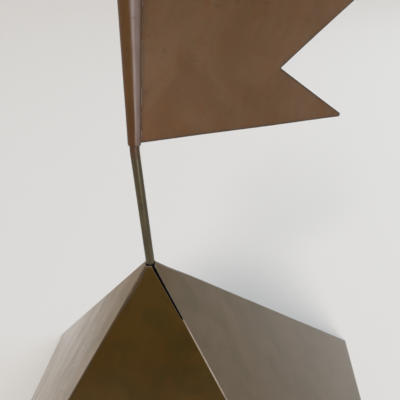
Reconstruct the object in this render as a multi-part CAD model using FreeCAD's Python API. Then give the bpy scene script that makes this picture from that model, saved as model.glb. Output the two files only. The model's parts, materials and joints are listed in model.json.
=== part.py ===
import FreeCAD, Part
import math
import os

# A weather vane: a swallow-tailed metal pennant on a rolled, tapered sleeve,
# turning on a slim round rod that rises out of a hollow sheet-metal pyramid.
# Frame: +Z up, front towards -Y, origin on the ground at the centre of the
# square base. Lengths are in millimetres, angles in degrees.

Vector = FreeCAD.Vector
Rotation = FreeCAD.Rotation
Z_AXIS = Vector(0, 0, 1)

# Pyramid roof cap
BASE_HALF = 265.0           # half the side of the square base
APEX_HEIGHT = 380.0         # where the four outer faces would meet
SHEET = 1.5                 # sheet thickness
TIP_CUT = 6.8               # depth of the flat cut below the meeting point
FOLD_RADIUS = 4.0           # outside radius of the two folded ridges
TIP_HOLE_R = 4.6            # drilled hole that the rod leaves through
SLIT_DEPTH = 45.4           # height of the open seam at the apex, front right ridge
SLIT_HEAD_WIDTH = 2.1       # its width at the apex, all cut from the front sheet
SLIT_FOOT_WIDTH = 1.3       # its width at its lower end
BEAD_LEG = 5.0              # solder fillet inside a seam

# Foot strips and cross braces
STRIP_WIDTH = 30.0
STRIP_THICK = 3.0
MOUNT_HOLE_R = 3.0
MOUNT_SPACING = 360.0       # between the two holes of one strip
MOUNT_LINE = 247.0          # from the centre to a strip's row of holes
BRACE_WIDTH = 30.0
BRACE_THICK = 5.0
BRACE_HALF_LENGTH = 250.0
RIVET_R = 2.0
RIVET_HEAD_R = 3.6
RIVET_HEAD_HEIGHT = 1.8
RIVET_LINE = 241.0
RIVET_OFFSET = 8.0

# Rod and its socket
ROD_R = 4.0
ROD_FIT = 0.05              # radial running clearance in the bushes
SOCKET_FLANGE_R = 25.0
SOCKET_FLANGE_THICK = 5.0
SOCKET_BOSS_R = 9.0
SOCKET_BOSS_HEIGHT = 30.0
SOCKET_SCREW_CIRCLE_R = 19.0
M5_R = 2.5
M5_HEAD_R = 4.25
M5_HEAD_HEIGHT = 5.0
M5_HEX_R = 2.3
GRUB_HEIGHT = 17.0          # above the flange
GRUB_END = 10.0             # how far its outer end stands from the rod's axis
GUIDE_Z = 330.0             # underside of the guide plate in the apex
GUIDE_THICK = 3.0
GUIDE_CLEARANCE = 0.2

# Bent upper end of the rod, which carries the pennant
BEND_Z = 485.0
LEAN = 6.0                  # the rod's top leans this far, towards the pennant
HEADING = 33.7              # direction of the lean, from +X towards +Y
BEND_RADIUS = 25.0
ROD_TOP = 116.0             # the rest are heights along the leaning axis
BALL_R = 3.0
BALL_CENTRE = ROD_TOP + 1.0

# Pennant and sleeve, measured in the pennant's own plane
FLAG_FOOT = 6.0             # lower edge, above the bend
FLAG_LENGTH = 226.5         # from the rod's axis to the tips
FLAG_HEIGHT = 117.0
FLAG_THICK = 1.2
NOTCH_DEPTH = 88.5
NOTCH_HEIGHT = 51.5         # notch above the lower edge
TIP_RADIUS = 2.0
SLEEVE_R_FOOT = 5.3         # outside radius at the pennant's lower edge
SLEEVE_R_HEAD = 8.9         # outside radius at the pennant's upper edge
SLEEVE_WALL = 0.7
SLEEVE_BELOW = 1.2
SLEEVE_ABOVE = 4.0
SEAM_LEG = 1.8              # solder fillet between pennant and sleeve
LOWER_BUSH_FROM = 5.3
LOWER_BUSH_LENGTH = 12.0
UPPER_BUSH_FROM = 96.0
UPPER_BUSH_LENGTH = 12.0
CAP_RIM = 0.8               # the cap's rim beyond the sleeve
CAP_RIM_THICK = 1.5
CAP_DOME = 5.0
CAP_PLUG = 4.0
PIVOT_CUP_R = 4.5
PIVOT_CUP_SEAT = 2.0        # depth that the cup is let into the cap

# Worked out from the sizes above
SLOPE = BASE_HALF / APEX_HEIGHT
SLANT = math.hypot(BASE_HALF, APEX_HEIGHT)
INNER_APEX = APEX_HEIGHT - SHEET * SLANT / BASE_HALF
INNER_HALF = INNER_APEX * SLOPE
BRACE_TOP = STRIP_THICK + BRACE_THICK
FLANGE_TOP = BRACE_TOP + SOCKET_FLANGE_THICK
FLAG_HEAD = FLAG_FOOT + FLAG_HEIGHT
SLEEVE_FOOT = FLAG_FOOT - SLEEVE_BELOW
SLEEVE_HEAD = FLAG_HEAD + SLEEVE_ABOVE
FAR = 2.0 * BASE_HALF       # reaches past everything


def polygon_face(points):
    """A flat face through the given corners."""
    return Part.Face(Part.makePolygon(list(points) + [points[0]]))


def pyramid(half, rise):
    """A solid square pyramid standing on z = 0."""
    top = Vector(0, 0, rise)
    corners = [Vector(x * half, y * half, 0) for x, y in ((-1, -1), (1, -1), (1, 1), (-1, 1))]
    faces = [polygon_face(corners)]
    for start, end in zip(corners, corners[1:] + corners[:1]):
        faces.append(polygon_face([start, end, top]))
    return Part.makeSolid(Part.makeShell(faces))


def slab(z_low, z_high):
    """Everything between two heights."""
    return Part.makeBox(2 * FAR, 2 * FAR, z_high - z_low, Vector(-FAR, -FAR, z_low))


def sector(start_angle, end_angle):
    """The part of space between two vertical planes through the Z axis."""
    corners = [Vector(0, 0, -FAR)]
    reach = 2 * FAR
    for angle in (start_angle, end_angle):
        turn = math.radians(angle)
        corners.append(Vector(reach * math.cos(turn), reach * math.sin(turn), -FAR))
    return polygon_face(corners).extrude(Vector(0, 0, 2 * reach))


def rod_between(start, end, radius):
    """A round bar from one point to another."""
    return Part.makeCylinder(radius, (end - start).Length, start, end - start)


def quarter_turns(shape):
    """The shape and its three copies, a quarter turn apart."""
    copies = []
    for turn in range(4):
        copy = shape.copy()
        copy.rotate(Vector(0, 0, 0), Z_AXIS, 90 * turn)
        copies.append(copy)
    return copies


def dome_ball_radius(rim_radius, rise):
    """Radius of the ball whose cap has the given rim radius and rise."""
    return (rim_radius ** 2 + rise ** 2) / (2 * rise)


# ---- pyramid ----

def ridge_edges(solid, corner_x, corner_y):
    """The ridge that rises from the base corner on the given side."""
    found = []
    for edge in solid.Edges:
        middle = edge.CenterOfMass
        rises = edge.BoundBox.ZLength > APEX_HEIGHT / 2
        if rises and middle.x * corner_x > 0 and middle.y * corner_y > 0:
            found.append(edge)
    return found


def pyramid_skin():
    """The whole sheet-metal skin: two ridges folded, two left as seams."""
    outer = pyramid(BASE_HALF, APEX_HEIGHT).common(slab(0, APEX_HEIGHT - TIP_CUT))
    folds = ridge_edges(outer, -1, -1) + ridge_edges(outer, 1, 1)
    outer = outer.makeFillet(FOLD_RADIUS, folds)
    hole = Part.makeCylinder(TIP_HOLE_R, APEX_HEIGHT)
    return outer.cut(pyramid(INNER_HALF, INNER_APEX)).cut(hole)


def seam_slit():
    """The upright slice cut off the front sheet's edge, beside the front right ridge."""
    along = Vector(1, -1, 0).normalize()
    across = Vector(-1, -1, 0).normalize()
    foot = Vector(0, 0, APEX_HEIGHT - SLIT_DEPTH)
    head = Vector(0, 0, APEX_HEIGHT)
    outline = [foot, head, head + across * SLIT_HEAD_WIDTH, foot + across * SLIT_FOOT_WIDTH]
    return polygon_face(outline).extrude(along * APEX_HEIGHT)


def pyramid_sheets():
    """Each sheet makes two faces, with a folded ridge between them."""
    skin = pyramid_skin()
    front_left = skin.common(sector(135, 225).fuse(sector(225, 315)))
    back_right = skin.common(sector(-45, 45).fuse(sector(45, 135)))
    return {
        "pyramid_sheet_front_left": front_left.cut(seam_slit()),
        "pyramid_sheet_back_right": back_right,
    }


def seam_bead(side_x, side_y):
    """Solder run inside a seam, from the foot strips up to the guide plate."""
    def inner_corner(z):
        half = (INNER_APEX - z) * SLOPE
        return Vector(side_x * half, side_y * half, z)

    low = inner_corner(STRIP_THICK)
    high = inner_corner(GUIDE_Z)
    leg_x = Vector(-side_x * BEAD_LEG, 0, 0)
    leg_y = Vector(0, -side_y * BEAD_LEG, 0)
    return polygon_face([low, low + leg_x, low + leg_y]).extrude(high - low)


def foot_strips():
    """Four mitred strips soldered inside the lower edge, each with two tapped holes."""
    inner_edge = INNER_HALF - STRIP_WIDTH
    opening = Part.makeBox(
        2 * inner_edge, 2 * inner_edge, STRIP_THICK,
        Vector(-inner_edge, -inner_edge, 0),
    )
    frame = pyramid(INNER_HALF, INNER_APEX).common(slab(0, STRIP_THICK)).cut(opening)
    holes = []
    for x in (-MOUNT_SPACING / 2, MOUNT_SPACING / 2):
        mount_hole = Part.makeCylinder(MOUNT_HOLE_R, STRIP_THICK, Vector(x, -MOUNT_LINE, 0))
        holes += quarter_turns(mount_hole)
    for x in (-RIVET_OFFSET, RIVET_OFFSET):
        rivet_hole = Part.makeCylinder(RIVET_R, STRIP_THICK, Vector(x, -RIVET_LINE, 0))
        holes += quarter_turns(rivet_hole)
    frame = frame.cut(Part.makeCompound(holes))
    strips = {}
    for side, turn in {"right": -45, "back": 45, "left": 135, "front": 225}.items():
        strips["foot_strip_" + side] = frame.common(sector(turn, turn + 90))
    return strips


def cross_braces():
    """Two flat bars, half-lapped where they cross under the rod."""
    half_width = BRACE_WIDTH / 2
    half_thick = BRACE_THICK / 2
    bar = Part.makeBox(
        2 * BRACE_HALF_LENGTH, BRACE_WIDTH, BRACE_THICK,
        Vector(-BRACE_HALF_LENGTH, -half_width, STRIP_THICK),
    )
    holes = []
    for y in (-RIVET_OFFSET, RIVET_OFFSET):
        holes += quarter_turns(Part.makeCylinder(RIVET_R, FLANGE_TOP, Vector(RIVET_LINE, y, 0)))
    holes += quarter_turns(Part.makeCylinder(M5_R, FLANGE_TOP, Vector(SOCKET_SCREW_CIRCLE_R, 0, 0)))
    bar = bar.cut(Part.makeCompound(holes))
    upper_lap = Part.makeBox(
        BRACE_WIDTH, BRACE_WIDTH, half_thick,
        Vector(-half_width, -half_width, STRIP_THICK + half_thick),
    )
    lower_lap = upper_lap.copy()
    lower_lap.translate(Vector(0, 0, -half_thick))
    crossing_bar = bar.copy()
    crossing_bar.rotate(Vector(0, 0, 0), Z_AXIS, 90)
    return {
        "cross_brace_side_to_side": bar.cut(upper_lap),
        "cross_brace_front_to_back": crossing_bar.cut(lower_lap),
    }


def brace_rivets():
    """Two domed rivets through each brace end and the strip below it."""
    head_top = BRACE_TOP + RIVET_HEAD_HEIGHT
    ball_r = dome_ball_radius(RIVET_HEAD_R, RIVET_HEAD_HEIGHT)
    rivets = []
    for y in (-RIVET_OFFSET, RIVET_OFFSET):
        shank = Part.makeCylinder(RIVET_R, BRACE_TOP, Vector(RIVET_LINE, y, 0))
        ball = Part.makeSphere(ball_r, Vector(RIVET_LINE, y, head_top - ball_r))
        rivets += quarter_turns(shank.fuse(ball.common(slab(BRACE_TOP, head_top))))
    return Part.makeCompound(rivets)


# ---- rod ----

def hex_prism(radius, height, base):
    """An upright hexagonal prism."""
    corners = []
    for turn in range(6):
        angle = math.radians(60 * turn)
        corners.append(base + Vector(radius * math.cos(angle), radius * math.sin(angle), 0))
    return polygon_face(corners).extrude(Vector(0, 0, height))


def grub_bar(start_x):
    """A round bar out of the boss towards +X, for the grub screw and its hole."""
    height = FLANGE_TOP + GRUB_HEIGHT
    return rod_between(Vector(start_x, 0, height), Vector(GRUB_END, 0, height), M5_R)


def rod_socket():
    """A turned flange and boss that hold the rod's foot."""
    flange = Part.makeCylinder(SOCKET_FLANGE_R, SOCKET_FLANGE_THICK, Vector(0, 0, BRACE_TOP))
    boss = Part.makeCylinder(SOCKET_BOSS_R, SOCKET_BOSS_HEIGHT, Vector(0, 0, FLANGE_TOP))
    body = flange.fuse(boss).removeSplitter()
    bore = Part.makeCylinder(ROD_R, BEND_Z)
    screw_hole = Part.makeCylinder(M5_R, FLANGE_TOP, Vector(SOCKET_SCREW_CIRCLE_R, 0, 0))
    return body.cut(bore).cut(grub_bar(0)).cut(Part.makeCompound(quarter_turns(screw_hole)))


def socket_screws():
    """Four cap screws from the flange down into the braces."""
    centre = Vector(SOCKET_SCREW_CIRCLE_R, 0, 0)
    shank = Part.makeCylinder(M5_R, FLANGE_TOP - STRIP_THICK, centre + Vector(0, 0, STRIP_THICK))
    head = Part.makeCylinder(M5_HEAD_R, M5_HEAD_HEIGHT, centre + Vector(0, 0, FLANGE_TOP))
    key = hex_prism(M5_HEX_R, M5_HEAD_HEIGHT, centre + Vector(0, 0, FLANGE_TOP + M5_HEAD_HEIGHT / 2))
    return Part.makeCompound(quarter_turns(shank.fuse(head).removeSplitter().cut(key)))


def grub_screw():
    """The screw that locks the rod in its socket."""
    key = hex_prism(M5_HEX_R / 2, M5_HEAD_HEIGHT / 2, Vector(0, 0, 0))
    key.rotate(Vector(0, 0, 0), Vector(0, 1, 0), -90)
    key.translate(Vector(GRUB_END, 0, FLANGE_TOP + GRUB_HEIGHT))
    return grub_bar(ROD_R).cut(key)


def apex_guide_plate():
    """A plate soldered inside the apex, with a clearance hole that steadies the rod."""
    plate = pyramid(INNER_HALF, INNER_APEX).common(slab(GUIDE_Z, GUIDE_Z + GUIDE_THICK))
    return plate.cut(Part.makeCylinder(ROD_R + GUIDE_CLEARANCE, APEX_HEIGHT))


def lean_placement():
    """From the pennant's own frame (X out along it, Z up the rod) to the part's."""
    turn = Rotation(Z_AXIS, HEADING).multiply(Rotation(Vector(0, 1, 0), LEAN))
    return FreeCAD.Placement(Vector(0, 0, BEND_Z), turn)


def on_the_lean(shape):
    """The shape moved from the pennant's own frame to the part's."""
    moved = shape.copy()
    moved.Placement = lean_placement().multiply(moved.Placement)
    return moved


def thrust_ball():
    """A steel ball in the rod's top end, under the sleeve's cap."""
    return on_the_lean(Part.makeSphere(BALL_R, Vector(0, 0, BALL_CENTRE)))


def rod():
    """A straight round bar with one small bend just below the sleeve."""
    place = lean_placement()
    setback = BEND_RADIUS * math.tan(math.radians(LEAN / 2))
    foot = Vector(0, 0, BRACE_TOP)
    bend_start = Vector(0, 0, BEND_Z - setback)
    bend_end = place.multVec(Vector(0, 0, setback))
    head = place.multVec(Vector(0, 0, ROD_TOP))
    outward = place.Rotation.multVec(Vector(1, 0, 0))
    level = Vector(outward.x, outward.y, 0).normalize()
    half_turn = math.radians(LEAN / 2)
    inward = level * (BEND_RADIUS * (1 - math.cos(half_turn)))
    middle = bend_start + inward + Z_AXIS * (BEND_RADIUS * math.sin(half_turn))
    path = Part.Wire([
        Part.LineSegment(foot, bend_start).toShape(),
        Part.Arc(bend_start, middle, bend_end).toShape(),
        Part.LineSegment(bend_end, head).toShape(),
    ])
    profile = Part.Wire([Part.Circle(foot, Z_AXIS, ROD_R).toShape()])
    bar = path.makePipeShell([profile], True, False)
    return bar.cut(thrust_ball())


# ---- pennant ----

def sleeve_radius(height):
    """Outside radius of the tapered sleeve at a height along the leaning axis."""
    share = (height - FLAG_FOOT) / FLAG_HEIGHT
    return SLEEVE_R_FOOT + share * (SLEEVE_R_HEAD - SLEEVE_R_FOOT)


def sleeve_cone(low, high, inset=0.0):
    """A solid piece of the sleeve's taper, optionally set in from its outside."""
    foot_r = sleeve_radius(low) - inset
    head_r = sleeve_radius(high) - inset
    return Part.makeCone(foot_r, head_r, high - low, Vector(0, 0, low))


def flag():
    """A flat swallow-tailed plate whose inner edge ends flush with the sleeve's bore."""
    near_face = -FLAG_THICK / 2
    outline = [
        Vector(sleeve_radius(FLAG_FOOT) - SLEEVE_WALL, near_face, FLAG_FOOT),
        Vector(FLAG_LENGTH, near_face, FLAG_FOOT),
        Vector(FLAG_LENGTH - NOTCH_DEPTH, near_face, FLAG_FOOT + NOTCH_HEIGHT),
        Vector(FLAG_LENGTH, near_face, FLAG_HEAD),
        Vector(sleeve_radius(FLAG_HEAD) - SLEEVE_WALL, near_face, FLAG_HEAD),
    ]
    plate = polygon_face(outline).extrude(Vector(0, FLAG_THICK, 0))
    tip_edges = []
    for edge in plate.Edges:
        at_tip = edge.BoundBox.XMin > FLAG_LENGTH - TIP_RADIUS
        goes_through = edge.BoundBox.YLength > FLAG_THICK / 2
        if at_tip and goes_through:
            tip_edges.append(edge)
    return plate.makeFillet(TIP_RADIUS, tip_edges)


def flag_sleeve():
    """The rolled, tapered tube, split along one side for the pennant's edge."""
    bore = sleeve_cone(SLEEVE_FOOT, SLEEVE_HEAD, SLEEVE_WALL)
    tube = sleeve_cone(SLEEVE_FOOT, SLEEVE_HEAD).cut(bore)
    split = Part.makeBox(
        2 * SLEEVE_R_HEAD, FLAG_THICK, FLAG_HEIGHT,
        Vector(0, -FLAG_THICK / 2, FLAG_FOOT),
    )
    return tube.cut(split)


def sleeve_solder(side):
    """The solder fillet between sleeve and pennant; side is -1 or 1 across it."""
    wires = []
    for height in (FLAG_FOOT, FLAG_HEAD):
        radius = sleeve_radius(height)
        face_y = side * FLAG_THICK / 2
        rise_y = side * (FLAG_THICK / 2 + SEAM_LEG)
        corners = [
            Vector(radius - SLEEVE_WALL / 2, face_y, height),
            Vector(radius + SEAM_LEG, face_y, height),
            Vector(math.sqrt(radius ** 2 - rise_y ** 2), rise_y, height),
        ]
        wires.append(Part.makePolygon(corners + corners[:1]))
    fillet = Part.makeLoft(wires, True, True)
    return fillet.cut(sleeve_cone(SLEEVE_FOOT, SLEEVE_HEAD))


def bush(low, length):
    """A bronze bush that fills the sleeve and runs on the rod."""
    body = sleeve_cone(low, low + length, SLEEVE_WALL)
    return body.cut(Part.makeCylinder(ROD_R + ROD_FIT, length, Vector(0, 0, low)))


def sleeve_cap():
    """A domed cap with a plug that fits inside the sleeve's head."""
    rim_r = sleeve_radius(SLEEVE_HEAD) + CAP_RIM
    rim = Part.makeCylinder(rim_r, CAP_RIM_THICK, Vector(0, 0, SLEEVE_HEAD))
    dome_foot = SLEEVE_HEAD + CAP_RIM_THICK
    ball_r = dome_ball_radius(rim_r, CAP_DOME)
    ball = Part.makeSphere(ball_r, Vector(0, 0, dome_foot + CAP_DOME - ball_r))
    dome = ball.common(Part.makeCylinder(rim_r, CAP_DOME, Vector(0, 0, dome_foot)))
    plug = sleeve_cone(SLEEVE_HEAD - CAP_PLUG, SLEEVE_HEAD, SLEEVE_WALL)
    seat = Part.makeCylinder(PIVOT_CUP_R, PIVOT_CUP_SEAT, Vector(0, 0, SLEEVE_HEAD - CAP_PLUG))
    return rim.fuse([dome, plug]).removeSplitter().cut(seat)


def pivot_cup():
    """The hardened disc that rests on the thrust ball and carries the pennant."""
    foot = BALL_CENTRE + BALL_R + ROD_FIT
    head = SLEEVE_HEAD - CAP_PLUG + PIVOT_CUP_SEAT
    return Part.makeCylinder(PIVOT_CUP_R, head - foot, Vector(0, 0, foot))


def build():
    """Every piece by name, in place."""
    pieces = {}
    pieces.update(pyramid_sheets())
    pieces["seam_solder_front_right"] = seam_bead(1, -1)
    pieces["seam_solder_back_left"] = seam_bead(-1, 1)
    pieces.update(foot_strips())
    pieces.update(cross_braces())
    pieces["brace_rivets"] = brace_rivets()
    pieces["rod_socket"] = rod_socket()
    pieces["socket_screws"] = socket_screws()
    pieces["grub_screw"] = grub_screw()
    pieces["apex_guide_plate"] = apex_guide_plate()
    pieces["rod"] = rod()
    pieces["thrust_ball"] = thrust_ball()
    pieces["flag"] = on_the_lean(flag())
    pieces["flag_sleeve"] = on_the_lean(flag_sleeve())
    pieces["sleeve_solder_near"] = on_the_lean(sleeve_solder(-1))
    pieces["sleeve_solder_far"] = on_the_lean(sleeve_solder(1))
    pieces["lower_bush"] = on_the_lean(bush(LOWER_BUSH_FROM, LOWER_BUSH_LENGTH))
    pieces["upper_bush"] = on_the_lean(bush(UPPER_BUSH_FROM, UPPER_BUSH_LENGTH))
    pieces["sleeve_cap"] = on_the_lean(sleeve_cap())
    pieces["pivot_cup"] = on_the_lean(pivot_cup())
    return pieces


os.makedirs("parts", exist_ok=True)
for name, shape in build().items():
    shape.exportStep(os.path.join("parts", name + ".step"))
    size = shape.BoundBox
    print(f"{name:28s} solids {len(shape.Solids)} valid {shape.isValid()} volume {shape.Volume:10.1f}"
          f"  {size.XLength:6.1f} x {size.YLength:6.1f} x {size.ZLength:6.1f}")
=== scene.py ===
import json
import math

import bpy
import bmesh
from mathutils import Matrix, Vector, noise


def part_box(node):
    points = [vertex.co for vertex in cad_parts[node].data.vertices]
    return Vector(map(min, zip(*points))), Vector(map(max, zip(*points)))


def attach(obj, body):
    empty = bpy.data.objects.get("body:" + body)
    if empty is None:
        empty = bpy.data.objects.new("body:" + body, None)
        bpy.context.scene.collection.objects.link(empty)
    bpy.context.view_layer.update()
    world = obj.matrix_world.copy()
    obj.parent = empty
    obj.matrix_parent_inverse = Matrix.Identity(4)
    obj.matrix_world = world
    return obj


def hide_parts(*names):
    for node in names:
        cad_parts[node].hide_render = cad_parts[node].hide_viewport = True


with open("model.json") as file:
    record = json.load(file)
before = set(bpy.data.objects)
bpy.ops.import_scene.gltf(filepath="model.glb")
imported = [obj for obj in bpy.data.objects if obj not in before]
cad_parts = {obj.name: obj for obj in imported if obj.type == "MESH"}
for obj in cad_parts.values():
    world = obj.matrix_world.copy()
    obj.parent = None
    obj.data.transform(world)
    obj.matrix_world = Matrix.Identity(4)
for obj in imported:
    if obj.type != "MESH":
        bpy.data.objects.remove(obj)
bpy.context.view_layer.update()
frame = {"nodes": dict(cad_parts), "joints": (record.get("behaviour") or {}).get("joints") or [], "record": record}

# Looks for the weather vane: the folded pyramid sheets, the rod, the tapered
# sleeve and the swallow-tailed pennant. Metres, in the frame of the CAD part.

# ---- sizes, from the frame where it has them ----
MM = 0.001
JOINT = frame["joints"][0]
BEND = Vector(JOINT["pos_m"])
LEAN_AXIS = Vector(JOINT["axis"]).normalized()
BASE_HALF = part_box("pyramid_sheet_back_right")[1].x
TIP_CUT = 6.8 * MM
APEX_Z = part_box("pyramid_sheet_back_right")[1].z + TIP_CUT
SLOPE = BASE_HALF / APEX_Z
SHEET = 1.5 * MM
SLIT_DEPTH = 45.4 * MM
SLIT_HEAD = 3.0 * MM        # slit widths, measured level along the front face
SLIT_FOOT = 1.9 * MM
SEAM_HEAD = 0.5 * MM        # the sliver of cut edge that shows below the slit
SEAM_FOOT = 1.3 * MM
ROD_R = 4.0 * MM
ROD_FOOT_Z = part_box("rod")[0].z
ROD_TOP = 116.0 * MM
BEND_RADIUS = 25.0 * MM
FLAG_FOOT = 6.0 * MM
FLAG_LENGTH = 226.5 * MM
FLAG_HEIGHT = 117.0 * MM
FLAG_THICK = 1.2 * MM
NOTCH_DEPTH = 88.5 * MM
NOTCH_HEIGHT = 51.5 * MM
TIP_RADIUS = 2.0 * MM
SLEEVE_R_FOOT = 5.3 * MM
SLEEVE_R_HEAD = 8.9 * MM
SLEEVE_WALL = 0.7 * MM
SLEEVE_FOOT = FLAG_FOOT - 1.2 * MM
SLEEVE_HEAD = FLAG_FOOT + FLAG_HEIGHT + 4.0 * MM
CAP_RIM = 0.8 * MM
CAP_RIM_THICK = 1.5 * MM
CAP_DOME = 5.0 * MM
CAP_PLUG = 4.0 * MM
BROKEN_EDGE = 0.3 * MM      # rounding of cut plate, bar and machined parts

# ---- directions; the pyramid's four faces are named after the way they look ----
UP = Vector((0, 0, 1))
RIGHT, BACK = Vector((1, 0, 0)), Vector((0, 1, 0))
LEFT, FRONT = -RIGHT, -BACK

# ---- the view: the camera's place, turn and lens ----
CAMERA_AT = Vector((0.08719, -0.31585, 0.61488))
CAMERA_HEADING = 6.75       # degrees to the left of +Y
CAMERA_PITCH = 28.89        # degrees below the horizon
CAMERA_ROLL = 3.79          # degrees
CAMERA_LENS = 39.03         # on a 36 mm sensor


def lean_frame():
    """Matrix from the pennant's own frame (X along it, Z up the rod) to the part's."""
    level = Vector((LEAN_AXIS.x, LEAN_AXIS.y, 0)).normalized()
    across = UP.cross(level)
    outward = across.cross(LEAN_AXIS)
    turn = Matrix((outward, across, LEAN_AXIS)).transposed().to_4x4()
    return Matrix.Translation(BEND) @ turn


LEAN = lean_frame()


# ---- mesh helpers ----

def add_mesh(name, points, faces):
    """A new smooth-shaded mesh object from points and faces."""
    mesh = bpy.data.meshes.new(name)
    mesh.from_pydata([tuple(p) for p in points], [], faces)
    mesh.validate()
    return show_mesh(name, mesh)


def show_mesh(name, mesh):
    """Puts a mesh into the scene, smooth-shaded."""
    for polygon in mesh.polygons:
        polygon.use_smooth = True
    made = bpy.data.objects.new(name, mesh)
    bpy.context.scene.collection.objects.link(made)
    return made


def grid_faces(rows, columns, closed=False):
    """Quads of a grid stored row by row; closed joins the last column to the first."""
    faces = []
    for row in range(rows - 1):
        for column in range(columns if closed else columns - 1):
            following = (column + 1) % columns
            faces.append((
                row * columns + column, row * columns + following,
                (row + 1) * columns + following, (row + 1) * columns + column,
            ))
    return faces


def tube_faces(rows, around):
    """Faces of a tube stored ring by ring, with both ends closed."""
    last = (rows - 1) * around
    ends = [tuple(reversed(range(around))), tuple(range(last, last + around))]
    return grid_faces(rows, around, True) + ends


def ring_points(radius, height, sides):
    """Points of a level ring about the vertical axis."""
    turns = [2 * math.pi * i / sides for i in range(sides)]
    return [Vector((radius * math.cos(turn), radius * math.sin(turn), height)) for turn in turns]


def set_float(made, name, values):
    """Stores one number per vertex under a name that materials read."""
    layer = made.data.attributes.new(name, "FLOAT", "POINT")
    layer.data.foreach_set("value", values)


def set_uv(made, pairs):
    """Stores metric surface coordinates, in metres, per vertex."""
    layer = made.data.uv_layers.new(name="surface")
    for loop in made.data.loops:
        layer.data[loop.index].uv = pairs[loop.vertex_index]


def thicken(made, thickness, bevel, offset=-1.0, even_normals=True):
    """Gives a skin its sheet thickness and softly broken edges."""
    solid = made.modifiers.new("thickness", "SOLIDIFY")
    solid.thickness = thickness
    solid.offset = offset
    solid.use_even_offset = True
    soften(made, bevel, even_normals)


def soften(made, bevel, even_normals=True, sharpest=50):
    """Small rounded bevels on edges that turn by more than sharpest degrees."""
    edge = made.modifiers.new("edges", "BEVEL")
    edge.width = bevel
    edge.segments = 2
    edge.limit_method = "ANGLE"
    edge.angle_limit = math.radians(sharpest)
    if even_normals:
        normals = made.modifiers.new("normals", "WEIGHTED_NORMAL")
        normals.keep_sharp = True


def unify_normals(made, skin=False):
    """Turns all faces the same way: out of a closed body, or away from the axis for a skin."""
    mesh = bmesh.new()
    mesh.from_mesh(made.data)
    bmesh.ops.recalc_face_normals(mesh, faces=mesh.faces)
    mesh.faces.ensure_lookup_table()
    sample = mesh.faces[len(mesh.faces) // 2]
    centre = sample.calc_center_median()
    if skin and sample.normal.dot(Vector((centre.x, centre.y, 0))) < 0:
        bmesh.ops.reverse_faces(mesh, faces=mesh.faces)
    mesh.to_mesh(made.data)
    mesh.free()


def spread(low, high, count):
    """Evenly spaced values, both ends included."""
    return [low + (high - low) * i / (count - 1) for i in range(count)]


def smooth(value):
    """Clamped smooth step from 0 to 1."""
    value = max(0.0, min(1.0, value))
    return value * value * (3 - 2 * value)


# ---- node helpers ----

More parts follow.
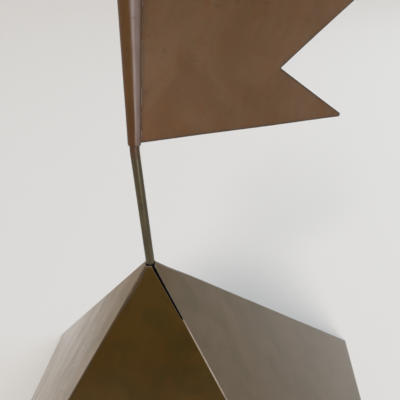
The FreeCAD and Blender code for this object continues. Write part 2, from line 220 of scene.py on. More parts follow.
class Nodes:
    """Short names for building one material's node tree."""

    def __init__(self, name):
        self.material = bpy.data.materials.new(name)
        self.material.use_nodes = True
        self.tree = self.material.node_tree
        self.shader = self.tree.nodes["Principled BSDF"]
        self.place = self.add("ShaderNodeTexCoord").outputs["Object"]

    def add(self, kind, **settings):
        node = self.tree.nodes.new(kind)
        for key, value in settings.items():
            setattr(node, key, value)
        return node

    def put(self, socket, value):
        """Links a socket to another, or sets its plain value."""
        if isinstance(value, bpy.types.NodeSocket):
            self.tree.links.new(value, socket)
        else:
            socket.default_value = value

    def attribute(self, name):
        return self.add("ShaderNodeAttribute", attribute_name=name).outputs["Fac"]

    def up(self):
        """Height above the ground plane, in metres."""
        split = self.add("ShaderNodeSeparateXYZ")
        self.put(split.inputs[0], self.place)
        return split.outputs["Z"]

    def surface(self):
        """Metric coordinates that follow the sheet."""
        return self.add("ShaderNodeUVMap", uv_map="surface").outputs["UV"]

    def stretch(self, vector, scale, turn=(0.0, 0.0, 0.0)):
        node = self.add("ShaderNodeMapping")
        self.put(node.inputs["Vector"], vector)
        node.inputs["Scale"].default_value = scale
        node.inputs["Rotation"].default_value = turn
        return node.outputs["Vector"]

    def noise(self, scale, detail=4.0, rough=0.55, distort=0.0, vector=None):
        node = self.add("ShaderNodeTexNoise")
        self.put(node.inputs["Vector"], self.place if vector is None else vector)
        node.inputs["Scale"].default_value = scale
        node.inputs["Detail"].default_value = detail
        node.inputs["Roughness"].default_value = rough
        node.inputs["Distortion"].default_value = distort
        return node.outputs["Fac"]

    def specks(self, scale):
        node = self.add("ShaderNodeTexVoronoi")
        self.put(node.inputs["Vector"], self.place)
        node.inputs["Scale"].default_value = scale
        return node.outputs["Distance"]

    def ramp(self, value, low, high, to_low=0.0, to_high=1.0):
        """Maps low..high onto to_low..to_high, smoothly and clamped."""
        node = self.add("ShaderNodeMapRange", interpolation_type="SMOOTHSTEP")
        self.put(node.inputs["Value"], value)
        node.inputs["From Min"].default_value = low
        node.inputs["From Max"].default_value = high
        node.inputs["To Min"].default_value = to_low
        node.inputs["To Max"].default_value = to_high
        return node.outputs["Result"]

    def math(self, operation, first, second=0.0):
        node = self.add("ShaderNodeMath", operation=operation)
        self.put(node.inputs[0], first)
        self.put(node.inputs[1], second)
        return node.outputs[0]

    def mix(self, share, first, second):
        """Colour between first and second."""
        node = self.add("ShaderNodeMix", data_type="RGBA")
        self.put(node.inputs["Factor"], share)
        for socket, value in ((node.inputs[6], first), (node.inputs[7], second)):
            self.put(socket, value if isinstance(value, bpy.types.NodeSocket) else (*value, 1.0))
        return node.outputs[2]

    def scratches(self, scale, length, turn, width=0.06, share=0.62):
        """Thin broken lines along one direction of the sheet."""
        along = self.stretch(self.surface(), (1.0, length, 1.0), (0, 0, turn))
        lines = self.noise(scale, 2.0, 0.5, 0.4, along)
        centred = self.math("ABSOLUTE", self.math("SUBTRACT", lines, 0.5))
        thin = self.ramp(centred, 0.0, width * 0.2, 1.0, 0.0)
        broken = self.ramp(self.noise(scale * 0.25, 3.0, 0.6), share, share + 0.08)
        return self.math("MULTIPLY", thin, broken)

    def scaled(self, value, factor):
        return self.math("MULTIPLY", value, factor)

    def bump(self, height, strength, distance, normal=None):
        node = self.add("ShaderNodeBump")
        self.put(node.inputs["Height"], height)
        node.inputs["Strength"].default_value = strength
        node.inputs["Distance"].default_value = distance
        if normal is not None:
            self.put(node.inputs["Normal"], normal)
        return node.outputs["Normal"]

    def finish(self, colour, roughness, normal=None, metallic=1.0, ior=1.5):
        self.put(self.shader.inputs["Base Color"], colour)
        self.put(self.shader.inputs["Roughness"], roughness)
        self.put(self.shader.inputs["Metallic"], metallic)
        self.shader.inputs["IOR"].default_value = ior
        if normal is not None:
            self.put(self.shader.inputs["Normal"], normal)
        return self.material


# ---- materials: colours are linear red, green and blue ----

# near black of painted shade: in the seam's slit and where the rod enters the tip
SHADE_BLACK = (0.004, 0.003, 0.002)
BRIGHT_EDGE = (0.62, 0.52, 0.42)
# pale lilac grey of a painted highlight, laid on the sleeve's sides
PAINTED_HIGHLIGHT_GREY = (0.250, 0.185, 0.170)


def pyramid_metal():
    """Brass sheet under a glossy dark brown patina, with brushing marks, scratches and worn edges; painted light
    makes the left face lighter, a painted reflection greys the fold and painted shade blackens the slit.
    """
    n = Nodes("pyramid_patina")
    surface = n.surface()
    cloud = n.noise(9.0, 6.0, 0.6, 0.6)
    patch = n.noise(38.0, 5.0, 0.6, 0.3)
    grain = n.noise(600.0, 2.0, 0.6)
    wiped = n.noise(14.0, 4.0, 0.55, 0.5, n.stretch(surface, (1.6, 0.7, 1.0), (0, 0, 0.62)))
    smear = n.noise(34.0, 5.0, 0.6, 0.3, n.stretch(surface, (1.6, 0.35, 1.0), (0, 0, 0.55)))
    brushed = n.noise(300.0, 3.0, 0.6, 0.0, n.stretch(surface, (6.0, 0.25, 1.0), (0, 0, 0.35)))
    scratch = n.scratches(55.0, 0.08, 0.6)
    cross_scratch = n.scratches(80.0, 0.05, -1.1, 0.05, 0.66)
    edge = n.attribute("edge")
    fold = n.attribute("fold")
    gap = n.attribute("gap")
    # pale: share of painted light per face, full on the left face
    pale = n.attribute("pale")
    height_share = n.ramp(n.up(), 0.26, 0.375)
    upper = n.ramp(n.up(), 0.08, 0.36)
    brown = n.mix(n.ramp(cloud, 0.38, 0.62), (0.079, 0.037, 0.0020), (0.089, 0.047, 0.0032))
    olive = n.mix(n.ramp(patch, 0.45, 0.66, 0.0, 0.6), brown, (0.065, 0.045, 0.0050))
    marked = n.mix(n.ramp(grain, 0.3, 0.8, 0.0, 0.12), olive, (0.035, 0.022, 0.008))
    smeared = n.mix(n.ramp(smear, 0.60, 0.72, 0.0, 0.55), marked, (0.038, 0.024, 0.008))
    # painted light: the lighter straw colour that the left face is given
    side_light_colour = n.mix(n.ramp(patch, 0.4, 0.65), (0.250, 0.140, 0.035), (0.210, 0.130, 0.045))
    side_lit = n.mix(pale, smeared, side_light_colour)
    # painted reflection along the rounded fold: grey near the tip, darker lower down
    fold_painted_reflection = n.mix(height_share, (0.050, 0.040, 0.028), (0.150, 0.120, 0.095))
    fold_reflected = n.mix(n.scaled(fold, n.ramp(patch, 0.35, 0.6, 0.55, 0.9)), side_lit, fold_painted_reflection)
    rubbed = n.mix(n.scaled(edge, n.ramp(patch, 0.3, 0.6, 0.45, 0.9)), fold_reflected, BRIGHT_EDGE)
    scored = n.mix(n.scaled(scratch, 0.35), rubbed, (0.26, 0.19, 0.10))
    crossed = n.mix(n.scaled(cross_scratch, 0.30), scored, (0.24, 0.18, 0.10))
    # painted shade: the sheet's edge inside the slit goes near black
    colour = n.mix(gap, crossed, SHADE_BLACK)
    dulled = n.math("ADD", n.ramp(wiped, 0.35, 0.65, 0.11, 0.17), n.ramp(patch, 0.4, 0.7, 0.0, 0.04))
    wear_up = n.math("ADD", n.scaled(height_share, 0.12), n.scaled(upper, 0.20))
    side_dull = n.math("ADD", dulled, n.scaled(n.ramp(pale, 0.4, 1.0), wear_up))
    rough = n.math("ADD", side_dull, n.scaled(gap, 0.6))
    height = n.math("ADD", n.scaled(brushed, 0.5), n.scaled(scratch, -0.6))
    normal = n.bump(height, 0.08, 0.0002, n.bump(patch, 0.15, 0.0010))
    return n.finish(colour, rough, normal, n.ramp(patch, 0.4, 0.7, 0.25, 0.40), 1.68)


def rod_metal():
    """Drawn bar, dark olive, stained red brown where the sleeve rubs, with painted shade where it enters the tip's
    hole.
    """
    n = Nodes("rod_patina")
    streak = n.noise(260.0, 4.0, 0.6, 0.0, n.stretch(n.place, (1.0, 1.0, 0.06)))
    blotch = n.noise(90.0, 5.0, 0.65, 0.5)
    stain = n.attribute("stain")
    hole_shade = n.attribute("hole_shade")
    base = n.mix(n.ramp(streak, 0.35, 0.65), (0.058, 0.042, 0.014), (0.095, 0.072, 0.032))
    aged = n.mix(n.ramp(blotch, 0.5, 0.7, 0.0, 0.6), base, (0.045, 0.034, 0.014))
    rubbed = n.scaled(stain, n.ramp(blotch, 0.3, 0.6, 0.55, 1.0))
    stained = n.mix(rubbed, aged, (0.095, 0.042, 0.018))
    # painted shade: near black inside the tip's hole and just above it
    colour = n.mix(hole_shade, stained, SHADE_BLACK)
    dull = n.math("ADD", n.ramp(streak, 0.3, 0.7, 0.26, 0.38), n.scaled(stain, 0.15))
    rough = n.math("ADD", dull, n.scaled(hole_shade, 0.5))
    normal = n.bump(streak, 0.25, 0.00015, n.bump(blotch, 0.2, 0.0003))
    return n.finish(colour, rough, normal, 0.3, 1.45)


def copper(name, dark, light, red, roughness, metallic, ior):
    """Copper sheet with a warm brown patina, cloudy and softly rubbed, with a painted highlight where marked."""
    n = Nodes(name)
    surface = n.surface()
    cloud = n.noise(16.0, 6.0, 0.6, 0.8)
    blotch = n.noise(60.0, 5.0, 0.62, 0.4)
    grain = n.noise(900.0, 2.0, 0.5)
    rolled = n.noise(240.0, 3.0, 0.5, 0.0, n.stretch(surface, (0.35, 5.0, 1.0)))
    scratch = n.scratches(70.0, 0.07, 1.2, 0.05, 0.66)
    edge = n.attribute("edge")
    stain = n.attribute("stain")
    base = n.mix(n.ramp(cloud, 0.36, 0.64), dark, light)
    ruddy = n.mix(n.ramp(blotch, 0.50, 0.70, 0.0, 0.5), base, red)
    grained = n.mix(n.ramp(grain, 0.3, 0.8, 0.0, 0.10), ruddy, tuple(c * 0.4 for c in dark))
    stained = n.mix(n.scaled(stain, n.ramp(blotch, 0.3, 0.6, 0.5, 1.0)), grained, red)
    # painted highlight: the marked band is lightened towards pale grey
    highlight_painted = n.mix(n.scaled(n.attribute("painted_highlight"), 0.85), stained, PAINTED_HIGHLIGHT_GREY)
    spots = n.ramp(n.noise(150.0, 3.0, 0.6), 0.62, 0.72, 0.0, 0.35)
    spotted = n.mix(spots, highlight_painted, tuple(c * 0.5 for c in dark))
    # darker cut edges; on the sleeve this mark also carries painted shade beside the joint
    edges_and_seam_shade = n.mix(n.scaled(edge, 0.88), spotted, (0.034, 0.026, 0.022))
    colour = n.mix(n.scaled(scratch, 0.22), edges_and_seam_shade, (0.30, 0.19, 0.12))
    rough = n.math("ADD", n.ramp(cloud, 0.3, 0.7, *roughness), n.scaled(edge, 0.1))
    height = n.math("ADD", n.scaled(rolled, 0.4), n.scaled(scratch, -0.5))
    normal = n.bump(height, 0.15, 0.00015, n.bump(blotch, 0.2, 0.0008))
    return n.finish(colour, rough, normal, metallic, ior)


def flag_metal():
    """The pennant's copper: lighter and a little glossier."""
    dark, light, red = (0.134, 0.068, 0.026), (0.162, 0.087, 0.040), (0.166, 0.063, 0.017)
    return copper("flag_patina", dark, light, red, (0.21, 0.27), 0.25, 1.40)


def sleeve_metal():
    """The sleeve's copper: deeper and duller."""
    dark, light, red = (0.097, 0.036, 0.003), (0.120, 0.053, 0.010), (0.112, 0.031, 0.002)
    return copper("sleeve_patina", dark, light, red, (0.33, 0.41), 0.12, 1.42)


def solder_metal():
    """Dull soft solder with a brown film."""
    n = Nodes("solder_grey")
    lumps = n.noise(320.0, 4.0, 0.6, 0.5)
    film = n.noise(130.0, 5.0, 0.6)
    colour = n.mix(n.ramp(film, 0.4, 0.62), (0.42, 0.38, 0.36), (0.17, 0.10, 0.065))
    return n.finish(colour, n.ramp(lumps, 0.3, 0.7, 0.38, 0.58), n.bump(lumps, 0.4, 0.0004), 0.9)


def brace_metal():
    """Mill steel with a thin bloom of rust."""
    n = Nodes("brace_steel")
    rust = n.noise(55.0, 7.0, 0.68, 0.6)
    mill = n.noise(200.0, 3.0, 0.5, 0.0, n.stretch(n.place, (0.3, 0.3, 4.0)))
    pits = n.specks(900.0)
    steel = n.mix(n.ramp(mill, 0.35, 0.65), (0.20, 0.195, 0.19), (0.31, 0.30, 0.29))
    colour = n.mix(n.ramp(rust, 0.52, 0.70, 0.0, 0.85), steel, (0.21, 0.085, 0.035))
    rough = n.ramp(rust, 0.45, 0.7, 0.36, 0.78)
    metallic = n.ramp(rust, 0.5, 0.7, 1.0, 0.25)
    normal = n.bump(rust, 0.3, 0.0006, n.bump(pits, 0.15, 0.0002))
    return n.finish(colour, rough, normal, metallic)


def bronze_metal():
    """Turned bronze, dulled, with fine rings from the lathe."""
    n = Nodes("turned_bronze")
    rings = n.noise(1500.0, 2.0, 0.5, 0.0, n.stretch(n.place, (0.05, 0.05, 1.0)))
    tarnish = n.noise(160.0, 5.0, 0.6)
    colour = n.mix(n.ramp(tarnish, 0.4, 0.65), (0.62, 0.44, 0.19), (0.34, 0.21, 0.09))
    return n.finish(colour, n.ramp(tarnish, 0.3, 0.7, 0.26, 0.45), n.bump(rings, 0.2, 0.0001))


def bearing_metal():
    """Bright hardened steel with hairline wear."""
    n = Nodes("bright_steel")
    wear = n.noise(420.0, 5.0, 0.6, 0.4)
    colour = n.mix(n.ramp(wear, 0.4, 0.7), (0.56, 0.56, 0.57), (0.36, 0.35, 0.34))
    return n.finish(colour, n.ramp(wear, 0.3, 0.7, 0.16, 0.34), n.bump(wear, 0.1, 0.0001))


MATERIALS = {
    "pyramid_brass": pyramid_metal(),
    "rod_brass": rod_metal(),
    "flag_copper": flag_metal(),
    "sleeve_copper": sleeve_metal(),
    "bush_brass": bronze_metal(),
    "solder": solder_metal(),
    "brace_steel": brace_metal(),
    "bearing_steel": bearing_metal(),
}


def place_piece(made, body, slot, *nodes):
    """Gives a new piece its finish and its body, and hides the CAD nodes that it stands for."""
    made.data.materials.append(MATERIALS[slot])
    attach(made, body)
    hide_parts(*nodes)


# ---- pyramid sheets ----

# painted light: how much of a lighter straw colour each face gets, most on the left
SIDE_LIGHT_SHARE = {tuple(LEFT): 1.0, tuple(RIGHT): 0.05, tuple(FRONT): 0.0, tuple(BACK): 0.0}
RIPPLE_BROAD = 0.35 * MM
RIPPLE_FINE = 0.06 * MM
FOLD_SETBACK = 2.8 * MM
FOLD_SOFTENING = 2.6 * MM   # added to the setback where the fold is softest
SOFTEST_DEPTH = 22 * MM
SOFTEST_SPAN = 16 * MM
SEAM_CALM = 14 * MM         # the ripple fades out this near a seam or the tip
FOOT_CALM = 15 * MM
EDGE_WEAR = 0.9 * MM
SLIT_SIDE = 9 * MM          # the strip beside the slit that darkens and thins
SLIT_THIN = 5 * MM
TIP_THIN = 9 * MM
FACE_COLUMNS = 64
FOLD_STEPS = 10
SHEET_STEPS = 130


def ripple(point):
    """Slight unevenness of the hand-worked sheet."""
    broad = noise.noise(point * 9.0) * RIPPLE_BROAD
    fine = noise.noise(point * 31.0 + Vector((5, 3, 1))) * RIPPLE_FINE
    return broad + fine


def seam_retreat(depth):
    """How far the front sheet's edge stands back from the seam, measured level."""
    if depth < SLIT_DEPTH:
        return SLIT_HEAD + (SLIT_FOOT - SLIT_HEAD) * depth / SLIT_DEPTH
    share = (depth - SLIT_DEPTH) / (APEX_Z - SLIT_DEPTH)
    return SEAM_HEAD + (SEAM_FOOT - SEAM_HEAD) * share


def fold_setback(depth):
    """How far from the ridge the fold's rounding starts: softest a little below the tip."""
    softest = math.exp(-((depth - SOFTEST_DEPTH) / SOFTEST_SPAN) ** 2)
    return min(FOLD_SETBACK + FOLD_SOFTENING * softest, depth * SLOPE * 0.75)


def fold_arc(before, corner, after, count):
    """Points between the two ends of the rounded fold."""
    weight = 0.72
    points = []
    for i in range(1, count):
        t = i / count
        shares = ((1 - t) ** 2, 2 * weight * t * (1 - t), t * t)
        points.append((before * shares[0] + corner * shares[1] + after * shares[2]) / sum(shares))
    return points


def sheet_ring(depth, seam, fold, end, retreat):
    """One level row of a folded sheet, from its first seam over the fold to its last."""
    half = depth * SLOPE
    start, corner, finish = seam * half, fold * half, end * half
    start += (corner - start).normalized() * retreat
    before = corner + (start - corner).normalized() * fold_setback(depth)
    after = corner + (finish - corner).normalized() * fold_setback(depth)
    shares = [0.5 - 0.5 * math.cos(math.pi * turn) for turn in spread(0, 1, FACE_COLUMNS)]
    ring = [start.lerp(before, share) for share in shares]
    ring += fold_arc(before, corner, after, FOLD_STEPS)
    return ring + [after.lerp(finish, share) for share in shares]


def sheet_depths():
    """Depths of the rows below the meeting point, closer near the tip and at the slit's end."""
    rows = [TIP_CUT + (APEX_Z - TIP_CUT) * share ** 1.5 for share in spread(0, 1, SHEET_STEPS + 1)]
    rows += [SLIT_DEPTH - 0.3 * MM, SLIT_DEPTH + 0.3 * MM]
    return sorted(rows)


def sheet_marks(flat, depth, ring, fold, side):
    """What the material and the thickness need to know at one point of a sheet's row."""
    from_first = (flat - ring[0]).length
    from_seam = min(from_first, (flat - ring[-1]).length)
    from_fold = (flat - fold * (depth * SLOPE)).length
    from_tip = depth - TIP_CUT
    beside_slit = float(from_first < SLIT_SIDE)
    in_slit = beside_slit * smooth((SLIT_DEPTH + 0.5 * MM - depth) / (0.8 * MM))
    worn = 1.0 - smooth(min(from_seam, from_tip * 1.5) / EDGE_WEAR)
    thinned = 1.0 - 0.5 * in_slit * (1.0 - smooth(from_first / SLIT_THIN))
    return {
        "edge": worn * (1.0 - 0.8 * in_slit * smooth(from_tip / (2 * MM))),
        "fold": 1.0 - smooth(from_fold / (fold_setback(depth) * 1.25)),
        # gap: where painted shade blackens the sheet's edge inside the slit
        "gap": in_slit * (1.0 - smooth(from_first / (0.25 * MM))),
        # painted light share of this face
        "pale": SIDE_LIGHT_SHARE[tuple(side)],
        "sheet": (0.12 + 0.88 * smooth(from_tip / TIP_THIN)) * thinned,
    }


def sheet_point(flat, depth, ring, side):
    """A point of the slope, rippled except near seams, tip and foot."""
    from_seam = min((flat - ring[0]).length, (flat - ring[-1]).length)
    fade = smooth(from_seam / SEAM_CALM) * smooth((APEX_Z - depth) / FOOT_CALM)
    fade *= smooth((depth - TIP_CUT) / SEAM_CALM)
    outward = (side + UP * SLOPE).normalized()
    place = flat + UP * (APEX_Z - depth)
    return place + outward * ripple(flat + UP * depth) * fade


def pyramid_sheet(name, node, fold, open_seam):
    """A folded sheet of two faces, from the front right seam to the back left one."""
    seam, end = RIGHT + FRONT, LEFT + BACK
    first, second = (FRONT, LEFT) if fold == FRONT + LEFT else (RIGHT, BACK)
    points, pairs, marks = [], [], []
    depths = sheet_depths()
    for depth in depths:
        ring = sheet_ring(depth, seam, fold, end, seam_retreat(depth) if open_seam else 0.0)
        for flat in ring:
            side = first if flat.dot(first) >= flat.dot(second) else second
            points.append(sheet_point(flat, depth, ring, side))
            pairs.append((flat.dot(seam if side is first else end), depth * math.hypot(1, SLOPE)))
            marks.append(sheet_marks(flat, depth, ring, fold, side))
    made = add_mesh(name, points, grid_faces(len(depths), len(ring)))
    for key in ("edge", "fold", "gap", "pale"):
        set_float(made, key, [mark[key] for mark in marks])
    set_uv(made, pairs)
    unify_normals(made, skin=True)
    group = made.vertex_groups.new(name="sheet")
    for index, mark in enumerate(marks):
        group.add([index], mark["sheet"], "REPLACE")
    thicken(made, SHEET, 0.2 * MM, even_normals=False)
    made.modifiers["thickness"].vertex_group = "sheet"
    flatten_foot(made)
    place_piece(made, "base", "pyramid_brass", node)


def flatten_foot(made):
    """Makes the sheet's thickness real and trims its lower edge level with the ground."""
    edge = made.modifiers["edges"]
    edge.show_viewport = False
    bpy.context.view_layer.update()
    whole = made.evaluated_get(bpy.context.evaluated_depsgraph_get())
    made.data = bpy.data.meshes.new_from_object(whole)
    made.modifiers.remove(made.modifiers["thickness"])
    edge.show_viewport = True
    for vertex in made.data.vertices:
        vertex.co.z = max(vertex.co.z, 0.0)


# ---- rod ----

ROD_WEAR = 0.025 * MM
ROD_SKIN = 0.02 * MM        # made this much under size, to leave room for the wear


def rod_centre(height):
    """Centre line by height along it: upright, a short bend, then leaning."""
    lean = UP.angle(LEAN_AXIS)
    setback = BEND_RADIUS * math.tan(lean / 2)
    if height <= -setback:
        return BEND + UP * height, UP
    if height >= setback:
        return BEND + LEAN_AXIS * height, LEAN_AXIS
    share = (height + setback) / (2 * setback)
    direction = UP.slerp(LEAN_AXIS, share)
    below, above = BEND - UP * setback, BEND + LEAN_AXIS * setback
    return below.lerp(BEND, share).lerp(BEND.lerp(above, share), share), direction


def build_rod():
    """A slim round bar with faint unevenness along it."""
    sides = 48
    lowest = ROD_FOOT_Z - BEND.z
    heights = spread(lowest, -140 * MM, 60) + spread(-138 * MM, -90 * MM, 60)
    heights += spread(-88 * MM, -6 * MM, 40) + spread(-5 * MM, 5 * MM, 24)
    heights += spread(6 * MM, ROD_TOP, 40)
    points, pairs, stains, hole_shades = [], [], [], []
    for height in heights:
        centre, direction = rod_centre(height)
        above_hole = centre.z - (APEX_Z - TIP_CUT)
        side = BACK.cross(direction).normalized()
        other = direction.cross(side)
        for i in range(sides):
            turn = 2 * math.pi * i / sides
            out = side * math.cos(turn) + other * math.sin(turn)
            worn = noise.noise(Vector((out.x * 2, out.y * 2, height * 60))) * ROD_WEAR
            points.append(centre + out * (ROD_R + worn - ROD_SKIN))
            pairs.append((turn * ROD_R, height))
            stains.append(smooth((height + 7.5 * MM) / (2.5 * MM)))
            # painted shade: full up to 1 mm above the hole, gone by 2.6 mm above it
            hole_shades.append(1.0 - smooth((above_hole - 1.0 * MM) / (1.6 * MM)))
    made = add_mesh("rod_bar", points, tube_faces(len(heights), sides))
    set_float(made, "stain", stains)
    set_float(made, "hole_shade", hole_shades)
    set_uv(made, pairs)
    soften(made, BROKEN_EDGE)
    place_piece(made, "base", "rod_brass", "rod")


# ---- pennant ----

FLAG_HEAD = FLAG_FOOT + FLAG_HEIGHT
FLAG_GRID = 3 * MM
FLAG_EDGE_LINES = (0.5 * MM, -0.5 * MM, 1.2 * MM, -1.2 * MM)    # to either side of a long edge
LONG_SIDE = 10 * MM
DARK_EDGE = 2.0 * MM
STAIN_HEIGHT = 70 * MM
STAIN_REACH = 90 * MM
HELD_FLAT = 10 * MM         # the sleeve holds the plate flat this far out
BUCKLE_REACH = 60 * MM
SLEEVE_LIP = 1.2 * MM
SOLDER_END = 0.3 * MM

# angles round the sleeve, in radians from the pennant, for its painted shade and its painted highlight band
SEAM_SHADE = 0.55
PAINTED_HIGHLIGHT_START = 0.65
PAINTED_HIGHLIGHT_FADE_IN = 0.70
PAINTED_HIGHLIGHT_END = 1.82             # at the pennant's foot; further round at its head
PAINTED_HIGHLIGHT_END_GAIN = 0.30
PAINTED_HIGHLIGHT_FADE_OUT = 0.35


def sleeve_radius(height):
    """Outside radius of the sleeve at a height along the leaning axis."""
    share = (height - FLAG_FOOT) / FLAG_HEIGHT
    return SLEEVE_R_FOOT + share * (SLEEVE_R_HEAD - SLEEVE_R_FOOT)


def rounded_corner(before, corner, after, radius, count=7):
    """Points of an arc that replaces a sharp corner of the outline."""
    inward = (before - corner).normalized()
    outward = (after - corner).normalized()
    half = inward.angle(outward) / 2
    centre = corner + (inward + outward).normalized() * (radius / math.sin(half))
    start = corner + inward * (radius / math.tan(half)) - centre
    end = corner + outward * (radius / math.tan(half)) - centre
    return [centre + start.slerp(end, i / (count - 1)) * radius for i in range(count)]


def flag_outline():
    """The swallow tail in the pennant's plane, counted round from the lower inner corner."""
    inner_low = Vector((sleeve_radius(FLAG_FOOT) - SLEEVE_WALL, 0, FLAG_FOOT))
    inner_high = Vector((sleeve_radius(FLAG_HEAD) - SLEEVE_WALL, 0, FLAG_HEAD))
    low_tip = Vector((FLAG_LENGTH, 0, FLAG_FOOT))
    high_tip = Vector((FLAG_LENGTH, 0, FLAG_HEAD))
    notch = Vector((FLAG_LENGTH - NOTCH_DEPTH, 0, FLAG_FOOT + NOTCH_HEIGHT))
    outline = [inner_low]
    outline += rounded_corner(inner_low, low_tip, notch, TIP_RADIUS)
    outline += rounded_corner(low_tip, notch, high_tip, 0.6 * MM)
    outline += rounded_corner(notch, high_tip, inner_high, TIP_RADIUS)
    outline.append(inner_high)
    return outline


def distance_to_outline(point, outline):
    """Shortest distance from a point to the outline's sides."""
    best = 1.0
    for start, end in zip(outline, outline[1:]):
        along = end - start
        share = max(0.0, min(1.0, (point - start).dot(along) / along.length_squared))
        best = min(best, (start + along * share - point).length)
    return best


def flag_cuts(outline):
    """Planes that divide the plate: an even grid, and lines along its long sides."""
    columns = int(FLAG_LENGTH / FLAG_GRID)
    rows = int(FLAG_HEIGHT / FLAG_GRID)
    cuts = [(RIGHT * (i * FLAG_GRID), RIGHT) for i in range(1, columns + 1)]
    cuts += [(UP * (FLAG_FOOT + i * FLAG_GRID), UP) for i in range(1, rows + 1)]
    for start, end in zip(outline, outline[1:]):
        if (end - start).length > LONG_SIDE:
            inward = (end - start).cross(BACK).normalized()
            cuts += [(start + inward * inset, inward) for inset in FLAG_EDGE_LINES]
    return cuts


def flag_buckle(flat):
    """How far the plate stands off its plane, growing away from the sleeve."""
    free = smooth((flat.x - HELD_FLAT) / BUCKLE_REACH)
    return free * (noise.noise(flat * 11.0) * 0.9 + noise.noise(flat * 34.0) * 0.10) * MM


def build_flag():
    """A flat plate, very slightly uneven, darker in a band along its cut edges."""
    outline = flag_outline()
    mesh = bmesh.new()
    mesh.faces.new([mesh.verts.new(p) for p in outline])
    for place, normal in flag_cuts(outline):
        geometry = list(mesh.verts) + list(mesh.edges) + list(mesh.faces)
        bmesh.ops.bisect_plane(mesh, geom=geometry, plane_co=place, plane_no=normal, dist=1e-6)
    bmesh.ops.recalc_face_normals(mesh, faces=mesh.faces)
    if mesh.faces[0].normal.y > 0:
        bmesh.ops.reverse_faces(mesh, faces=mesh.faces)
    edges, stains, pairs = [], [], []
    for vertex in mesh.verts:
        flat = vertex.co.copy()
        edges.append(1.0 - smooth(distance_to_outline(flat, outline) / DARK_EDGE))
        near_foot = 1.0 - smooth((flat.z - FLAG_FOOT) / STAIN_HEIGHT)
        near_sleeve = 1.0 - smooth(flat.x / STAIN_REACH)
        stains.append(0.6 * near_foot * near_sleeve)
        pairs.append((flat.x, flat.z))
        vertex.co.y += flag_buckle(flat)
    data = bpy.data.meshes.new("pennant")
    mesh.to_mesh(data)
    mesh.free()
    made = show_mesh("pennant", data)
    # the pennant gets no painted highlight
    set_float(made, "painted_highlight", [0.0] * len(edges))
    set_float(made, "edge", edges)
    set_float(made, "stain", stains)
    set_uv(made, pairs)
    data.transform(LEAN)
    thicken(made, FLAG_THICK, BROKEN_EDGE, 0.0)
    place_piece(made, "vane", "flag_copper", "flag")


def build_sleeve():
    """The rolled, tapered tube, a touch uneven like hand-rolled sheet."""
    sides, rows = 96, 150
    points, pairs, edges, stains, painted_highlights = [], [], [], [], []
    for height in spread(SLEEVE_FOOT, SLEEVE_HEAD, rows):
        painted_highlight_end = PAINTED_HIGHLIGHT_END + PAINTED_HIGHLIGHT_END_GAIN * (height - FLAG_FOOT) / FLAG_HEIGHT
        for i in range(sides):
            turn = 2 * math.pi * i / sides
            out = Vector((math.cos(turn), math.sin(turn), 0))
            uneven = noise.noise(Vector((out.x * 1.3, out.y * 1.3, height * 45))) * 0.10 * MM
            lip = (1.0 - smooth((height - SLEEVE_FOOT) / SLEEVE_LIP)) * -0.15 * MM
            points.append(out * (sleeve_radius(height) + uneven + lip) + UP * height)
            pairs.append((turn * SLEEVE_R_HEAD, height))
            from_seam = abs(math.atan2(out.y, out.x))
            # painted shade on the sleeve, darkest at its joint with the pennant
            seam_shade_share = 1.0 - smooth(from_seam / SEAM_SHADE)
            patchy = 0.85 + 0.3 * noise.noise(Vector((out.x, out.y, height * 60)))
            # painted highlight: a band round both sides of the sleeve, reaching further round at its head
            fade_in = smooth((from_seam - PAINTED_HIGHLIGHT_START) / PAINTED_HIGHLIGHT_FADE_IN)
            painted_highlights.append(patchy * fade_in * smooth((painted_highlight_end - from_seam) / PAINTED_HIGHLIGHT_FADE_OUT))
            end_wear = 1.0 - smooth(min(height - SLEEVE_FOOT, SLEEVE_HEAD - height) / SLEEVE_LIP)
            # edge mark: painted shade beside the joint, and darker ends
            edges.append(max(0.8 * seam_shade_share, 0.7 * end_wear))
            stains.append(0.8 * smooth((1.0 - out.dot(Vector((-0.35, -0.94, 0)))) * 0.9))
    made = add_mesh("sleeve_tube", points, grid_faces(rows, sides, True))
    set_float(made, "painted_highlight", painted_highlights)
    set_float(made, "edge", edges)
    set_float(made, "stain", stains)
    set_uv(made, pairs)
    unify_normals(made, skin=True)
    made.data.transform(LEAN)
    thicken(made, SLEEVE_WALL, 0.2 * MM)
    place_piece(made, "vane", "sleeve_copper", "flag_sleeve")


def build_solder(name, node, side):
    """A lumpy fillet along the joint between sleeve and pennant."""
    rows, around = 240, 9
    points = []
    for height in spread(FLAG_FOOT + SOLDER_END, FLAG_HEAD - SOLDER_END, rows):
        radius = sleeve_radius(height)
        lump = 0.75 + 0.5 * noise.noise(Vector((side * 3.1, 0.0, height * 190)))
        blob = max(0.0, noise.noise(Vector((side * 7.7, 2.0, height * 75))) - 0.25)
        leg = (0.9 * lump + 1.6 * blob) * MM
        corner = Vector((radius - 0.3 * MM, side * FLAG_THICK * 0.4, height))
        on_flag = Vector((radius + leg, side * FLAG_THICK * 0.4, height))
        turn = (FLAG_THICK / 2 + leg) / radius
        sunk = radius - 0.1 * MM
        on_sleeve = Vector((math.cos(turn) * sunk, side * math.sin(turn) * radius, height))
        bulge = Vector((radius + leg * 0.45, side * (FLAG_THICK / 2 + leg * 0.45), height))
        points.append(corner)
        for i in range(around - 1):
            t = i / (around - 2)
            points.append(on_flag * (1 - t) ** 2 + bulge * 2 * t * (1 - t) + on_sleeve * t * t)
    made = add_mesh(name, points, tube_faces(rows, around))
    unify_normals(made)
    made.data.transform(LEAN)
    place_piece(made, "vane", "solder", node)


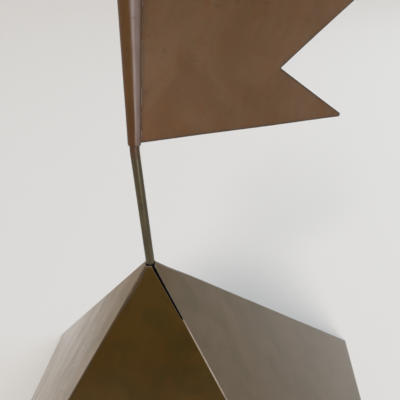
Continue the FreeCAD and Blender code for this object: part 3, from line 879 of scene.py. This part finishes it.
def cap_profile():
    """Radius and height along the cap's section: plug, rim, then the dome up to its middle."""
    rim = sleeve_radius(SLEEVE_HEAD) + CAP_RIM
    plug = sleeve_radius(SLEEVE_HEAD) - SLEEVE_WALL
    top = SLEEVE_HEAD + CAP_RIM_THICK
    plug_foot = SLEEVE_HEAD - CAP_PLUG
    profile = [(0.0, plug_foot), (plug - 0.5 * MM, plug_foot), (plug - 0.1 * MM, SLEEVE_HEAD)]
    profile += [(rim - BROKEN_EDGE, SLEEVE_HEAD), (rim, SLEEVE_HEAD + BROKEN_EDGE)]
    profile.append((rim, top - BROKEN_EDGE))
    for turn in spread(0, math.pi / 2, 16):
        rise = CAP_DOME * math.sin(turn) ** 1.15
        profile.append(((rim - BROKEN_EDGE) * math.cos(turn), top + rise))
    return profile


def build_cap():
    """A spun cap: rim, soft shoulder and low dome, with its plug below."""
    sides, pinhole = 72, 1e-5
    profile = cap_profile()
    points = []
    for radius, height in profile:
        points += ring_points(max(radius, pinhole), height, sides)
    made = add_mesh("sleeve_cap_spun", points, tube_faces(len(profile), sides))
    set_float(made, "edge", [0.0] * len(points))
    set_float(made, "stain", [0.4] * len(points))
    set_uv(made, [(p.x, p.y) for p in points])
    unify_normals(made, skin=True)
    made.data.transform(LEAN)
    soften(made, 0.15 * MM)
    place_piece(made, "vane", "sleeve_copper", "sleeve_cap")


# ---- carried-over CAD nodes ----

def dress_cad_nodes():
    """Every CAD node that still shows gets its finish and softly broken edges."""
    slots = {part["node"]: part["material_slot"] for part in frame["record"]["subparts"]}
    for name, node in frame["nodes"].items():
        if node.hide_render:
            continue
        node.data.materials.clear()
        node.data.materials.append(MATERIALS[slots[name]])
        soften(node, BROKEN_EDGE, even_normals=False, sharpest=40)


# ---- stage, light and camera ----

def build_stage():
    """A wide pale floor, a hair below the foot."""
    reach, lines, drop = 40.0, 8, 0.2 * MM
    places = spread(-reach, reach, lines)
    points = [Vector((x, y, -drop)) for y in places for x in places]
    floor = add_mesh("floor", points, grid_faces(lines, lines))
    paint = bpy.data.materials.new("pale_paint")
    paint.use_nodes = True
    shader = paint.node_tree.nodes["Principled BSDF"]
    shader.inputs["Base Color"].default_value = (0.82, 0.82, 0.82, 1.0)
    shader.inputs["Roughness"].default_value = 0.9
    floor.data.materials.append(paint)


def aim(made, at, towards):
    """Places a lamp and turns it towards a point."""
    made.location = at
    made.rotation_euler = (Vector(towards) - Vector(at)).to_track_quat("-Z", "Y").to_euler()
    bpy.context.scene.collection.objects.link(made)


def area_light(name, at, towards, size, power, colour, beam=180.0, lights_up=True):
    """A rectangular soft light aimed at a point."""
    lamp = bpy.data.lights.new(name, "AREA")
    lamp.shape = "RECTANGLE"
    lamp.size, lamp.size_y = size
    lamp.spread = math.radians(beam)
    lamp.energy = power
    lamp.color = colour
    made = bpy.data.objects.new(name, lamp)
    made.visible_camera = False
    made.visible_diffuse = lights_up
    aim(made, at, towards)


def sun_light(name, towards_sun, strength, spread_angle, colour, glare=True):
    """An even light from far away, softened by its width in degrees."""
    lamp = bpy.data.lights.new(name, "SUN")
    lamp.energy = strength
    lamp.angle = math.radians(spread_angle)
    lamp.color = colour
    made = bpy.data.objects.new(name, lamp)
    made.visible_glossy = glare
    aim(made, towards_sun, (0, 0, 0))


def build_room():
    """The room around: pale at the horizon, dimmer higher up."""
    world = bpy.data.worlds.new("room")
    world.use_nodes = True
    tree = world.node_tree
    direction = tree.nodes.new("ShaderNodeTexCoord")
    split = tree.nodes.new("ShaderNodeSeparateXYZ")
    fade = tree.nodes.new("ShaderNodeMapRange")
    fade.interpolation_type = "SMOOTHSTEP"
    fade.inputs["From Min"].default_value = 0.02
    fade.inputs["From Max"].default_value = 0.36
    fade.inputs["To Min"].default_value = 0.66
    fade.inputs["To Max"].default_value = 0.12
    tree.links.new(direction.outputs["Generated"], split.inputs[0])
    tree.links.new(split.outputs["Z"], fade.inputs["Value"])
    tree.links.new(fade.outputs["Result"], tree.nodes["Background"].inputs["Strength"])
    tree.nodes["Background"].inputs["Color"].default_value = (1.0, 0.99, 0.98, 1.0)
    bpy.context.scene.world = world


def build_light():
    """Soft key from the front, soft top light, a narrow window in front, daylight from the right."""
    warm, pale, cool, blue = (1.0, 0.93, 0.85), (1.0, 0.975, 0.95), (0.92, 0.95, 1.0), (0.66, 0.84, 1.0)
    sun_light("key", (-0.15, -0.80, 0.56), 1.60, 20.0, warm, glare=False)
    sun_light("top", (0.35, 0.10, 1.0), 1.32, 60.0, pale)
    window_at, daylight_at = (0.61, -0.80, 0.28), (4.5, 1.2, 2.6)
    area_light("window", window_at, (0.0, 0.0, 0.55), (0.14, 0.42), 0.55, cool, 70.0, lights_up=False)
    area_light("daylight", daylight_at, (0.8, 0.8, 0.0), (4.0, 3.0), 66.0, blue)


def build_camera():
    """The camera, turned to its heading, tipped down and rolled a little."""
    heading, pitch, roll = (math.radians(a) for a in (CAMERA_HEADING, CAMERA_PITCH, CAMERA_ROLL))
    level = Vector((-math.sin(heading), math.cos(heading), 0))
    forward = level * math.cos(pitch) - UP * math.sin(pitch)
    right = forward.cross(UP).normalized()
    up = right.cross(forward)
    rolled_right = right * math.cos(roll) - up * math.sin(roll)
    rolled_up = rolled_right.cross(forward)
    data = bpy.data.cameras.new("camera")
    data.lens = CAMERA_LENS
    data.sensor_width = 36.0
    data.clip_start = 0.01
    camera = bpy.data.objects.new("camera", data)
    turn = Matrix((rolled_right, rolled_up, -forward)).transposed()
    camera.matrix_world = Matrix.Translation(CAMERA_AT) @ turn.to_4x4()
    bpy.context.scene.collection.objects.link(camera)
    bpy.context.scene.camera = camera


build_camera()
pyramid_sheet("pyramid_front_left", "pyramid_sheet_front_left", FRONT + LEFT, True)
pyramid_sheet("pyramid_back_right", "pyramid_sheet_back_right", RIGHT + BACK, False)
build_rod()
build_flag()
build_sleeve()
build_solder("solder_near", "sleeve_solder_near", -1)
build_solder("solder_far", "sleeve_solder_far", 1)
build_cap()
dress_cad_nodes()
build_stage()
build_room()
build_light()
bpy.context.scene.view_settings.view_transform = "Standard"
